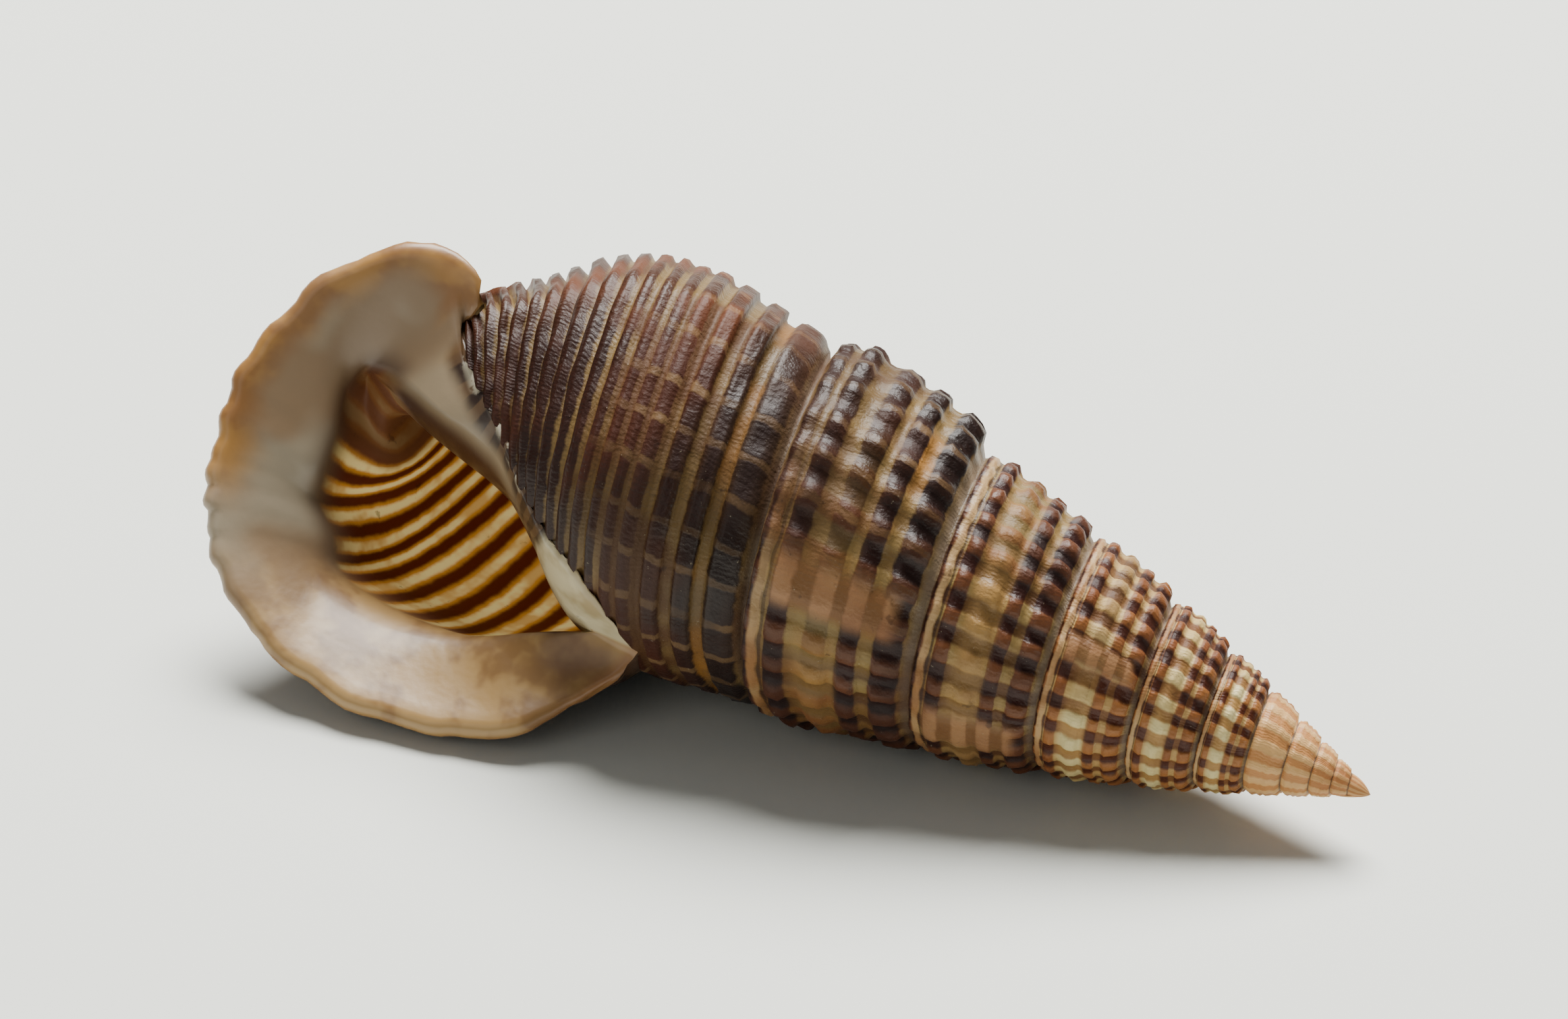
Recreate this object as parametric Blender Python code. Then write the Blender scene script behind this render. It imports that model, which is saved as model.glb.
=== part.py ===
"""Shell of a sulcate swamp cerith (Terebralia sulcata): one natural piece.

A right-handed spiral of eleven turns, corded and beaded outside, that ends in a thick flared
lip round an open mouth.  The shape is worked out in millimetres as it grew: u runs along the
coil's axis from the tip, R is the distance from the axis, phi is the angle of growth (90 is the
upper side of the last whorl, 360 more is one turn later) and t runs down a whorl from its suture.
Then the shell is laid down as it rests, in metres, +Z up.
"""
import bpy
import numpy as np

# The spiral
GROWTH = 0.3208                 # natural log of the growth in one turn
SUTURE_U = 28.634               # last whorl's suture from the tip, at phi 90
SUTURE_END = (5.46, -6.27, 1.65)   # how the suture slows and climbs towards the lip
SPIRE_CONE = (0.385, 0.110)     # radius over length at the tip, and how much less at the last whorl
TIP_BLUNT = 0.132
AXIS_LEAN = -0.05               # the whorls lean a little across the axis
TURNS = 10                      # whole turns before the lip's corner

# Outline of the last whorl at phi 90: t, u, R
LAST_WHORL = np.array([
    (0.00, 28.63, 7.52), (0.035, 28.88, 7.92), (0.10, 29.60, 8.10), (0.20, 30.79, 8.30), (0.42, 33.13, 8.80),
    (0.62, 35.38, 8.92), (0.78, 37.22, 8.58), (0.92, 38.87, 7.72), (1.05, 40.46, 6.32), (1.28, 42.90, 4.42),
    (1.43, 44.39, 3.50), (1.60, 45.80, 2.71), (1.90, 48.02, 1.49)])
SIDE_BULGE = ([-4200, -560, -450, -360, -270, -90], [.05, .05, .03, .08, .135, .15])   # of a whorl's side
RIDGE_PHI, RIDGE_H = 57.0, 0.36     # blunt ridge across the front of the last whorl
FLAT_PHI, FLAT_H = 20.0, 0.33       # flatter face beside it

# Cords and ribs; a cord's number c counts them down from the suture
CORD_T_LAST = ([0, .5, 1.5, 2.5, 3.5, 4.5, 6.5, 9.5, 12.5, 15.5, 18, 20.5],
               [0, .12, .27, .41, .53, .61, .76, .965, 1.15, 1.33, 1.46, 1.60])
CORD_T_SPIRE = ([0, .5, 1.5, 2.5, 3.5, 4.5, 5.0, 20], [0, .14, .36, .54, .79, .93, 1.0, 3.6])
CORD_HEIGHT = ([0, .5, 1.5, 2.5, 3.5, 4.5, 5.5, 30], [.9, 1.0, .95, .8, 1.05, .65, 1, 1])
RIBS = 26                           # ribs in one turn
RELIEF = 0.24                       # a cord's height over its pitch
OLD_LIPS = [(-372, 13), (-773, 15), (-1073, 10), (-560, 10), (-930, 11)]   # varices: phi, half width

# The mouth and its lip
CORNER_K = (-64.0, 0.48)            # phi and t on the body whorl where the lip begins
CORNER_J = (52.0, 1.48)             # and at the neck, where it closes over the canal
INNER_EDGE = [(-64, .48), (-47, .66), (-37.5, .80), (-34.5, .95), (-26, 1.14), (-12, 1.25),
              (1, 1.35), (15, 1.42), (33, 1.46), (52, 1.48)]      # edge of the callus, phi and t
# edge of the flared lip: along the axis, towards the front, up
LIP_EDGE = np.array([
    (29.68, 4.26, -7.45), (30.00, 4.09, -8.36), (30.90, 3.96, -9.61), (32.09, 3.89, -11.17),
    (33.98, 3.89, -12.62), (36.19, 3.89, -13.50), (38.27, 3.86, -13.89), (40.43, 3.83, -14.13),
    (42.43, 3.80, -13.93), (44.58, 3.76, -13.43), (46.11, 3.73, -12.65), (47.55, 3.70, -11.64),
    (48.74, 3.66, -10.52), (49.56, 3.63, -9.05), (50.34, 3.56, -7.20), (50.69, 3.50, -5.51),
    (50.94, 3.40, -3.41), (50.55, 3.30, -1.04), (49.74, 3.17, 1.23), (48.64, 3.07, 2.92),
    (47.35, 3.00, 4.13), (46.02, 2.97, 5.09), (45.16, 2.97, 5.38), (44.18, 3.00, 5.25),
    (43.42, 3.07, 5.05), (42.81, 3.10, 4.72), (42.47, 3.07, 4.21), (42.46, 2.90, 3.59),
    (42.69, 2.57, 3.06), (43.10, 2.05, 2.63)])
EDGE_OF_CORD = ([0, 3.5, 16.0, 18.36], [0, .29, .80, 1.0])    # share of the edge that a cord reaches
LIP_THICK, WALL, CALLUS = 1.05, 0.79, 0.26
LIP_DISH = ([0, 1.5, 4, 9, 13, 15.5, 18], [25, 32, 35, 38, 32, 20, 10])   # tilt of its face, degrees
THROAT_PHI = ([0, 1.6, 5.8, 11, 14.5, 18.36], [291, 278, 270, 276, 300, 350])
THROAT_K = (32.03, 3.30, -7.00)     # back corner of the mouth
THROAT_TOP = ([8, 9.5, 11, 12.5, 13.8, 15.2, 16.3, 17.3, 18.36],
              [(44.6, 0.15, -8.40), (45.6, 0.35, -7.65), (46.1, 0.80, -6.75), (46.18, 1.25, -5.70),
               (46.37, 1.19, -4.12), (46.86, 1.19, -2.23), (46.75, 1.25, -1.35),
               (46.36, 1.39, -0.61), (45.44, 1.52, -0.09)])
THROAT_DEPTH = 215.0                # degrees that the open tube runs back into the shell

# How the shell lies, and the small flats it rests on
ROLL_DEG, PITCH_DEG = -35.8, 10.7
FLAT_DEPTH = 0.15

# How fine the mesh is
STEPS, FINE_TURNS = 52, 4
ROWS = [0, .5, 1, 1.5, 2, 2.5, 3, 3.5, 5]
ROWS_SMALL, ROWS_BASE = 4, 28
RINGS = (3, 2, 4)                   # round the rim, down the face, along the tube

rad = np.radians


def smooth(x, a=0.0, b=1.0):
    x = np.clip((np.asarray(x, float) - a) / (b - a), 0, 1)
    return x * x * (3 - 2 * x)


def unit(v):
    return v / (np.linalg.norm(v, axis=-1, keepdims=True) + 1e-12)


class Curve:
    """A smooth line through measured knots."""

    def __init__(self, x, y):
        self.x, self.y = np.asarray(x, float), np.asarray(y, float)
        self.flat = self.y.ndim == 1
        if self.flat:
            self.y = self.y[:, None]
        h = np.diff(self.x)[:, None]
        d = np.diff(self.y, axis=0) / h
        m = np.empty_like(self.y)
        m[1:-1] = (d[:-1] * h[1:] + d[1:] * h[:-1]) / (h[:-1] + h[1:])
        m[0], m[-1] = 2 * d[0] - m[1], 2 * d[-1] - m[-2]
        self.m = m

    def __call__(self, q):
        q = np.asarray(q, float)
        shape, q = q.shape, q.ravel()
        i = np.clip(np.searchsorted(self.x, q, side="right") - 1, 0, len(self.x) - 2)
        h = self.x[i + 1] - self.x[i]
        f, h = np.clip((q - self.x[i]) / h, 0, 1)[:, None], h[:, None]
        out = ((1 + 2 * f) * (1 - f) ** 2 * self.y[i] + f * (1 - f) ** 2 * h * self.m[i]
               + f * f * (3 - 2 * f) * self.y[i + 1] + f * f * (f - 1) * h * self.m[i + 1])
        return out[:, 0].reshape(shape) if self.flat else out.reshape(shape + (self.y.shape[1],))


last_outline = Curve(LAST_WHORL[:, 0], LAST_WHORL[:, 1:])
side_bulge, cord_height = Curve(*SIDE_BULGE), Curve(*CORD_HEIGHT)
cord_t_last, cord_t_spire = Curve(*CORD_T_LAST), Curve(*CORD_T_SPIRE)
_cs = np.linspace(0, 20.5, 800)
TH_K, T_K = CORNER_K
TH_J, T_J = CORNER_J
C_K, C_J = (float(np.interp(t, cord_t_last(_cs), _cs)) for t in (T_K, T_J))
inner_edge_phi = Curve([p[1] for p in INNER_EDGE], [p[0] for p in INNER_EDGE])
_len = np.r_[0, np.cumsum(np.linalg.norm(np.diff(LIP_EDGE, axis=0), axis=1))]
lip_edge = Curve(_len / _len[-1], LIP_EDGE)
edge_of_cord, lip_dish, throat_phi = Curve(*EDGE_OF_CORD), Curve(*LIP_DISH), Curve(*THROAT_PHI)
throat_top = Curve(*THROAT_TOP)


# The coil: each suture point, then each point of a whorl's side between two sutures.
def suture_natural(phi):
    m = np.maximum(11 + (np.asarray(phi, float) - 90) / 360, 0)
    return SUTURE_U * np.exp(-GROWTH * (11 - m)) * (1 - np.exp(-m / 1.5))


def suture_u(phi):
    x = np.clip((np.asarray(phi, float) - 90) / 214, 0, 1.2)
    a, b, c = SUTURE_END
    return np.where(np.asarray(phi) > 90, SUTURE_U + a * x + b * x ** 2 + c * x ** 3, suture_natural(phi))


def spire_radius(u):
    a, b = SPIRE_CONE
    return u * (a - b * u / SUTURE_U) + TIP_BLUNT * (1 - np.exp(-u / 0.26)) * np.exp(-u / 2.0)


def row_t(c, phi):
    w = smooth(phi, -290, -90)
    a, b = cord_t_spire(np.minimum(c, 19.9)), cord_t_last(np.minimum(c, 20.5))
    return a + (b - a) * w


def late_growth(phi, t):
    x = np.asarray(phi, float) - 90
    s = 1 - smooth(t, 0.75, 1.5)
    held = s * x + (1 - s) * 32 * (1 - np.exp(-np.maximum(x, 0) / 32))
    return np.exp(GROWTH * np.where(x > 0, held, x) / 360)


def front_face(phi, t):
    ridge = np.exp(-((phi - RIDGE_PHI) / 10.0) ** 2) * smooth(t, 0.03, 0.25) * (1 - smooth(t, 1.25, 1.45))
    flat = np.exp(-((phi - FLAT_PHI) / 22.0) ** 2) * smooth(t, 0.1, 0.5) * (1 - smooth(t, 1.2, 1.5))
    return RIDGE_H * ridge - FLAT_H * flat


def whorl(phi, t):
    """u and R of the mean surface; on the last part the suture lies on the skin of the turn before."""
    phi, t = np.broadcast_arrays(np.asarray(phi, float), np.asarray(t, float))
    u0, u1 = suture_natural(phi), suture_natural(phi + 360)
    h = u1 - u0
    side = (1 - np.abs(2 * np.clip(t, 0, 1) - 1) ** 3.2) ** 0.62
    us = u0 + h * t
    Rs = spire_radius(u0) * (1 - t) + spire_radius(u1) * t + side_bulge(np.clip(phi, -4200, -90)) * h * side
    p = last_outline(t) * late_growth(phi, t)[..., None]
    grown = SUTURE_U * np.exp(GROWTH * (phi - 90) / 360)
    ul = p[..., 0] + np.where(phi > 90, suture_u(phi) - grown, 0) * (1 - smooth(t, 0.0, 0.8))
    w = smooth(phi, -280, -100)
    u, R = us + (ul - us) * w, Rs + (p[..., 1] - Rs) * w
    late = smooth(phi, 90, 200)
    if np.any(late > 0):
        start = last_outline(0 * t)[..., 1] * late_growth(phi, 0 * t)
        R = R + (skin_below(phi) + 0.03 - start) * late * (1 - smooth(t, 0, 0.42))
    return u, R + front_face(phi, t)


def cover_t(phi):
    """t on a whorl where the next turn's suture covers it."""
    phi = np.asarray(phi, float)
    want = suture_u(phi + 360)
    lo, hi = np.zeros_like(phi), np.full_like(phi, 1.3)
    for _ in range(30):
        mid = (lo + hi) / 2
        up = whorl(phi, mid)[0] < want
        lo, hi = np.where(up, mid, lo), np.where(up, hi, mid)
    return np.where(phi < -460, 1.0, (lo + hi) / 2)


_late = np.linspace(88, 312, 57)
skin_below = Curve(_late, whorl(_late - 360, cover_t(_late - 360))[1])    # radius that a late suture lies on


def place(u, R, phi):
    front, up = R * np.cos(rad(phi)), R * np.sin(rad(phi))
    return np.stack([u + AXIS_LEAN * up, front, up], -1)


def skin(phi, t):
    u, R = whorl(phi, t)
    return place(u, R, np.broadcast_to(phi, u.shape))


def skin_normal(phi, t):
    t = np.asarray(t, float)
    return unit(np.cross(skin(phi + .6, t) - skin(phi - .6, t),
                         skin(phi, t + .004) - skin(phi, np.maximum(t - .004, 0))))


# Cords run round the whorls; on the spire the ribs cross them and cut them into beads.
def relief(phi, c):
    phi, c = np.broadcast_arrays(np.asarray(phi, float), np.asarray(c, float))
    ua, ub = whorl(phi, row_t(np.maximum(c - .5, 0), phi))[0], whorl(phi, row_t(c + .5, phi))[0]
    pitch = np.clip(np.abs(ub - ua), 0.066, 1.52)
    pitch = np.where(c > 6, np.maximum(pitch, 0.66), pitch)
    cord = smooth(0.5 - 0.5 * np.cos(2 * np.pi * c), 0.25, 0.75)
    rib = smooth(0.5 + 0.5 * np.cos(2 * np.pi * RIBS * (phi - TH_K) / 360), 0.15, 0.85)
    bead = (1 - 0.85 * smooth(phi, -330, -60)) * (1 - smooth(c, 5.5, 9))
    h = RELIEF * pitch * cord_height(np.clip(c, 0, 30)) * (cord * (1 - 0.5 * bead + 0.5 * bead * rib) - 0.35)
    pad = np.zeros_like(phi)
    for p, w in OLD_LIPS:
        pad = np.maximum(pad, smooth(1.15 * (1 - np.abs(phi - p) / w)) * smooth(c, .15, .9) * (1 - smooth(c, 3.7, 4.6)))
    h = h + (0.17 * pitch + 0.3 * h - h) * pad
    return h * smooth(c, 0.0, 0.3)


# The flared lip: its edge, the way it faces and how thick it is where each cord ends.
def lip(c):
    f = edge_of_cord(np.asarray(c, float))
    E = lip_edge(f)
    T = unit(lip_edge(np.minimum(f + .004, 1)) - lip_edge(np.maximum(f - .004, 0)))
    out = np.stack([-T[..., 2], 0 * f, T[..., 0]], -1)
    out = unit(out * np.sign(np.sum(out * (E - LIP_EDGE.mean(0)), -1, keepdims=True)))
    psi, front = rad(lip_dish(c))[..., None], np.array([0, 1.0, 0])
    F, N = np.cos(psi) * out + np.sin(psi) * front, np.cos(psi) * front - np.sin(psi) * out
    return E, F, N, LIP_THICK * (0.25 + 0.75 * smooth(c, 0, 1.6) * smooth(C_J - c, 0, 1.6))


# The parietal wall: skin of the turn before, under the mouth, from the suture to the neck.
def parietal(phi, w):
    phi, w = np.broadcast_arrays(np.asarray(phi, float), np.asarray(w, float))
    g = np.exp(GROWTH * (phi - 90) / 360)
    t0 = np.interp(suture_u(phi + 360) / g, LAST_WHORL[:, 1], LAST_WHORL[:, 0])
    t = t0 + (T_J - t0) * w
    p = last_outline(t) * g[..., None]
    R = p[..., 1] + (whorl(phi + 360, 0 * phi)[1] - last_outline(t0)[..., 1] * g) * (1 - smooth(w, 0, 0.5))
    flat = np.exp(-((phi - FLAT_PHI) / 22.0) ** 2) * smooth(t, 0.1, 0.5) * (1 - smooth(t, 1.2, 1.5))
    return place(p[..., 0], R - FLAT_H * flat, phi)


def parietal_normal(phi, w):
    return unit(np.cross(parietal(phi + .6, w) - parietal(phi - .6, w),
                         parietal(phi, w + .01) - parietal(phi, np.maximum(w - .01, 0))))


def throat(phi, t):
    return skin(phi, t) - skin_normal(phi, t) * WALL


def bend(P0, P1, P2, P3, f):
    return (1 - f) ** 3 * P0 + 3 * f * (1 - f) ** 2 * P1 + 3 * f * f * (1 - f) * P2 + f ** 3 * P3


class Surface:
    """Points and faces of the one closed skin; each face remembers its region."""

    def __init__(self):
        self.points, self.faces, self.count = [], [], 0

    def add(self, P):
        P = np.atleast_2d(P)
        ids = np.arange(self.count, self.count + len(P))
        self.points.append(P)
        self.count += len(P)
        return ids

    def face(self, ids):
        ring = []
        for i in ids:
            if not ring or ring[-1] != i:
                ring.append(int(i))
        if ring[0] == ring[-1]:
            ring.pop()
        if len(ring) >= 3:
            self.faces.append(ring)


# The spire: columns of points along the growing edge, each tied to the suture a turn later.
def grow_spire(s, n, fine_turns, rows, rows_small):
    step, nk = 360.0 / n, TURNS * n
    phi_of = lambda k: TH_K + (np.asarray(k) - nk) * step
    kf = nk - fine_turns * n
    keys = list(range(0, kf, 2)) + list(range(kf, nk + 1))
    tip = s.add(np.array([[0.066, 0, 0]]))[0]
    skeys = sorted(set([k for k in keys if k >= n and k != nk] + list(range(nk, nk + n + 1))))
    suture = dict(zip(skeys, s.add(skin(phi_of(skeys), np.zeros(len(skeys))))))
    for k in keys:
        if k < n:
            suture[k] = tip
    fine, small = np.asarray(rows, float) / rows[-1], np.linspace(0, 1, rows_small + 1)
    ks = np.array(keys)
    top_t = cover_t(phi_of(ks))
    top_c = {k: (5.0 if p < -460 else np.interp(t, row_t(np.linspace(0, 8, 200), p), np.linspace(0, 8, 200)))
             for k, t, p in zip(keys, top_t, phi_of(ks))}
    column = {}
    for k in keys:
        share = (fine if k >= kf else small)[1:-1]
        if k == 0:
            column[k] = [tip, suture[k + n]]
            continue
        if k < n:
            start = np.array([0.066, 0, 0])
            end = skin(np.array([phi_of(k) + 360]), np.array([0.0]))[0]
            side = np.array([-0.6, np.cos(rad(phi_of(k))), np.sin(rad(phi_of(k)))])
            P = start + (end - start) * share[:, None] + side * (0.4 * share * (1 - share))[:, None]
        else:
            c = top_c[k] * share
            p = phi_of(k) + 0 * c
            P = skin(p, row_t(c, p)) + skin_normal(p, row_t(c, p)) * relief(p, c)[:, None]
        column[k] = [suture[k]] + list(s.add(P)) + [suture[k + n]]
    for ka, kb in zip(keys[:-1], keys[1:]):
        A, B = column[ka], column[kb]
        q = (len(B) - 1) // (len(A) - 1)
        for j in range(len(A) - 1):
            ring = [A[j]] + [B[j * q + x] for x in range(q + 1)]
            if j == len(A) - 2:
                ring += [suture[k] for k in range(kb + n - 1, ka + n, -1) if k in suture]
            s.face(ring + [A[j + 1]])
    return phi_of, suture, column[nk]


# The last whorl runs on as the coil does, then every row leaves it and sweeps out to the lip's back.
def grow_last_whorl(s, n, rows, rows_base, phi_of, suture, first):
    nk, J, M = TURNS * n, len(rows) - 1, len(rows) - 1 + rows_base
    x = np.arange(1, rows_base + 1) / rows_base
    c_row = np.r_[C_K * np.linspace(0, 1, J + 1), C_K + (C_J - C_K) * (1 - (1 - x) ** 1.2)]
    n1 = int(round((200 - TH_K) / 360 * n))
    corner = skin(np.array([TH_J]), np.array([T_J]))[0]
    pole = s.add(corner[None])[0]
    leave = 200 - (200 - TH_J - 8) * smooth(row_t(c_row, 200.0), 0.75, T_J) ** 0.9
    leave = leave - leave[0] + phi_of(nk + n1)
    start = np.where(c_row <= C_K + 1e-6, TH_K, inner_edge_phi(row_t(c_row, 0.0)))
    j = np.arange(J + 1, M)
    P = skin(start[j], row_t(c_row[j], 0.0))
    P = P + skin_normal(start[j], row_t(c_row[j], 0.0)) * (relief(start[j], c_row[j]) * 0.6)[:, None]
    last = [list(first) + list(s.add(P)) + [pole]]
    c = c_row[:M]
    E, F, N, th = lip(c_row)
    end_k = skin(np.array([TH_K + 360.0]), np.array([0.0]))[0]
    back = E - F * (th / 2)[:, None] - N * (th / 2)[:, None]
    shift = ((end_k - back[0]) * (1 - smooth(c_row, 0, 1.5))[:, None]
             + (corner - back[M]) * smooth(c_row, C_J - 1.2, C_J)[:, None])
    E, back = E + shift, (back + shift)[:M]
    tt = row_t(c, 200.0)
    P0 = skin(leave[:M], tt)
    G = unit(skin(leave[:M] + 1, tt) - skin(leave[:M] - 1, tt))
    far = np.linalg.norm(back - P0, axis=1)[:, None]
    along = unit(end_k - skin(np.array([TH_K + 357.0]), np.array([0.0])))
    wF = smooth(c, 0, 1.6)[:, None]
    P1 = P0 + G * far * (0.38 - 0.30 * smooth(c, 8, C_J))[:, None]
    P2 = back - unit(along * (1 - wF) + F[:M] * wF) * far * (0.30 + 0.05 * smooth(c, 3, 8))[:, None]
    mean, heights, normals = [], [], []
    for i in range(1, n + 1):
        if i <= n1:
            p = start[:M] + (leave[:M] - start[:M]) * i / n1
            mean.append(skin(p, row_t(c, p)))
            normals.append(skin_normal(p, row_t(c, p)))
            heights.append(relief(p, c))
        else:
            f = (i - n1) / (n - n1)
            on_coil = skin(leave[:M] + (phi_of(nk + n) - leave[0]) * f, tt)
            away = smooth(c, 0.0, 1.3)
            away = (away + (1 - away) * f ** 2)[:, None]
            mean.append(on_coil + (bend(P0, P1, P2, back, f) - on_coil) * away)
            heights.append(relief(np.full(M, 205.0), c) * (1 - 0.25 * f))
    grid = np.concatenate([np.stack(mean), np.repeat(corner[None, None], n, 0)], 1)
    nn = unit(np.cross(np.gradient(grid, axis=0), np.gradient(grid, axis=1)))[:, :-1]
    nn = nn * np.sign(np.median(np.sum(nn[:n1, 3:M - 4] * np.stack(normals)[:, 3:M - 4], -1)))
    fade = smooth(C_J - c, 0, 1.2) * smooth(c, 0, .4)
    for i in range(1, n + 1):
        normal = normals[i - 1] if i <= n1 else nn[i - 1]
        X = mean[i - 1] + normal * (heights[i - 1] * fade)[:, None]
        last.append([suture[nk + i]] + list(s.add(X[1:])) + [pole])
    for A, B in zip(last[:-1], last[1:]):
        for j in range(M):
            s.face([A[j], B[j], B[j + 1], A[j + 1]])
    return last, c_row, start, E, F, N, th, np.r_[heights[-1], 0.0]


# Lip, face, mouth and tube in rings from the edge inwards; the tube ends blind inside the shell.
def grow_mouth(s, rings, rows, last, c_row, start, E, F, N, th, height):
    J, M = len(rows) - 1, len(c_row) - 1
    r_rim, r_face, r_tube = rings
    c, pole = c_row, last[0][-1]
    loop = list(last[-1][:M]) + [pole] + list(last[0][J + 1:M][::-1])
    E = E + F * (height * 0.36 * smooth(c, 0, .4))[:, None]
    centre, half = E - F * (th / 2)[:, None], (th / 2)[:, None]
    outer = [centre + half * (F * np.sin(rad(a)) - N * np.cos(rad(a))) for a in np.linspace(0, 180, r_rim + 2)[1:]]
    face = outer[-1]
    t = 0.14 + row_t(c, 250.0) * 0.89
    t = np.where(t > 1.12, 1.12 + (t - 1.12) * 0.9, t)
    phi = throat_phi(c)
    mouth = throat(phi, t)
    to_top = smooth(c, 8.0, 11.0)[:, None]
    shift = (throat_top(c) - mouth) * to_top
    far = np.linalg.norm(mouth + shift - face, axis=1)[:, None]
    inward = unit(mouth - throat(phi - 2, t))
    turn = smooth(c, C_J - 4.5, C_J - 0.5)[:, None]
    down = unit(F * (1 - turn) + unit(face - mouth - shift) * turn)
    for f in np.linspace(0, 1, r_face + 2)[1:]:
        outer.append(bend(face, face - down * far * 0.42, mouth + shift + inward * far * 0.30 * (1 - 0.7 * turn),
                          mouth + shift, f))
    depth = np.linspace(0, 1, r_tube + 1)[1:] ** 1.15 * THROAT_DEPTH
    for d in depth:
        td = t + 0.18 * smooth(c, 13, C_J) * smooth(d, 0, 30) - 0.05 * (1 - smooth(c, 0, 3)) * smooth(d, 10, 90)
        outer.append(throat(phi - d, td) + shift * (1 - smooth(d, 0, 70)))
    outer = np.stack(outer)
    jp = np.arange(J, M + 1)
    cp, start_p = c_row[jp], np.r_[start[:M], TH_J][jp]
    w = (row_t(cp, 0.0) - T_K) / (T_J - T_K)
    dp = np.r_[np.linspace(0, 4, r_rim + 2)[1:], np.linspace(4, 16, r_face + 2)[1:], 16 + depth]
    inner = []
    for d in dp:
        wd = w + 0.19 * (1 - w) ** 2 * smooth(d, 0, 14) * (1 - 0.65 * smooth(d, 20, 90)) + 0.3 * w ** 6 * smooth(d, 0, 30)
        pd = start_p - d * (1 - 0.75 * (1 - smooth(w, 0, .25)) * (1 - smooth(d, 8, 50)))
        inner.append(parietal(pd, wd) + parietal_normal(pd, wd) * CALLUS * smooth(d, -1.5, 3.0))
    inner = np.stack(inner)
    # the two corner rows, shared by the outer and the parietal side
    nf = r_rim + r_face + 2
    f = np.r_[np.linspace(0, .12, r_rim + 2)[1:], np.linspace(.12, 1, r_face + 2)[1:]][:, None]
    keep = (1 - smooth(depth, 0, 60))[:, None]
    K0, J0 = last[-1][0], pole
    pts = np.concatenate(s.points)
    row_k = 0.5 * (outer[:, 0] + inner[:, 0])
    row_k[nf:] += (np.array(THROAT_K) - row_k[nf - 1]) * keep
    row_k[:nf] = pts[K0] + (np.array(THROAT_K) - pts[K0]) * f
    row_j = 0.5 * (outer[:, -1] + inner[:, -1])
    top = throat_top(C_J)
    row_j[nf:] += (top - row_j[nf - 1]) * keep
    row_j[:nf] = pts[J0] + (top - pts[J0]) * f
    outer = outer + (row_k - outer[:, 0])[:, None] * (1 - smooth(c, 0, 2.2))[None, :, None]
    outer = (outer + (row_j - outer[:, -1])[:, None] * smooth(c, C_J - 3.0, C_J)[None, :, None])[:, :-1]
    inner = inner + (row_k - inner[:, 0])[:, None] * (1 - smooth(cp, C_K, C_K + 3.5))[None, :, None]
    web = np.clip(1 - (C_J - cp) / 4.5, 0, 1) ** 1.4
    inner = inner + (row_j - inner[:, -1])[:, None] * web[None, :, None]
    full = np.concatenate([outer, inner[:, 1:][:, ::-1]], 1)
    mid = full[-1].mean(0)
    full = np.concatenate([full, (mid + (full[-1] - mid) * 0.6)[None]], 0)
    prev, L = loop, len(loop)
    for ring in full:
        ids = list(s.add(ring))
        for a in range(L):
            b = (a + 1) % L
            s.face([prev[b], prev[a], ids[a], ids[b]])
        prev = ids
    end = s.add(full[-1].mean(0)[None])[0]
    for a in range(L):
        s.face([prev[(a + 1) % L], prev[a], end])


def grow(n=STEPS, fine_turns=FINE_TURNS, rows=ROWS, rows_small=ROWS_SMALL, rows_base=ROWS_BASE, rings=RINGS):
    s = Surface()
    phi_of, suture, first = grow_spire(s, n, fine_turns, rows, rows_small)
    parts = grow_last_whorl(s, n, rows, rows_base, phi_of, suture, first)
    grow_mouth(s, rings, rows, *parts)
    return np.concatenate(s.points), s.faces


def lay_down(P):
    """Tip towards +X, mouth towards -Y, turned as it rests; the lowest bumps are worn flat on z = 0."""
    P = np.stack([-P[:, 0], -P[:, 1], P[:, 2]], 1)
    a, b = rad(ROLL_DEG), rad(PITCH_DEG)
    roll = np.array([[1, 0, 0], [0, np.cos(a), -np.sin(a)], [0, np.sin(a), np.cos(a)]])
    pitch = np.array([[np.cos(b), 0, np.sin(b)], [0, 1, 0], [-np.sin(b), 0, np.cos(b)]])
    P = P @ roll.T @ pitch.T
    P = P - np.array([*(P.max(0) + P.min(0))[:2] / 2, P[:, 2].min()])
    P[:, 2] = np.where(P[:, 2] < FLAT_DEPTH, FLAT_DEPTH, P[:, 2]) - FLAT_DEPTH
    return P * 0.001


for old in list(bpy.data.objects):
    bpy.data.objects.remove(old, do_unlink=True)

raw, faces = grow()
points = lay_down(raw)
mesh = bpy.data.meshes.new("shell")
mesh.from_pydata([tuple(p) for p in points], [], faces)
mesh.validate()
volume = sum(np.dot(points[f[0]], np.cross(points[f[i]], points[f[i + 1]]))
             for f in faces for i in range(1, len(f) - 1))
if volume < 0:
    mesh.flip_normals()
for polygon in mesh.polygons:
    polygon.use_smooth = True
shell = bpy.data.objects.new("shell", mesh)
bpy.context.scene.collection.objects.link(shell)

material = bpy.data.materials.new("corded shell")
material.use_nodes = True
principled = material.node_tree.nodes["Principled BSDF"]
principled.inputs["Base Color"].default_value = (0.16, 0.10, 0.07, 1.0)
principled.inputs["Roughness"].default_value = 0.45
mesh.materials.append(material)
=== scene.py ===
import bpy
import numpy as np
from mathutils import Matrix, Vector


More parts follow.
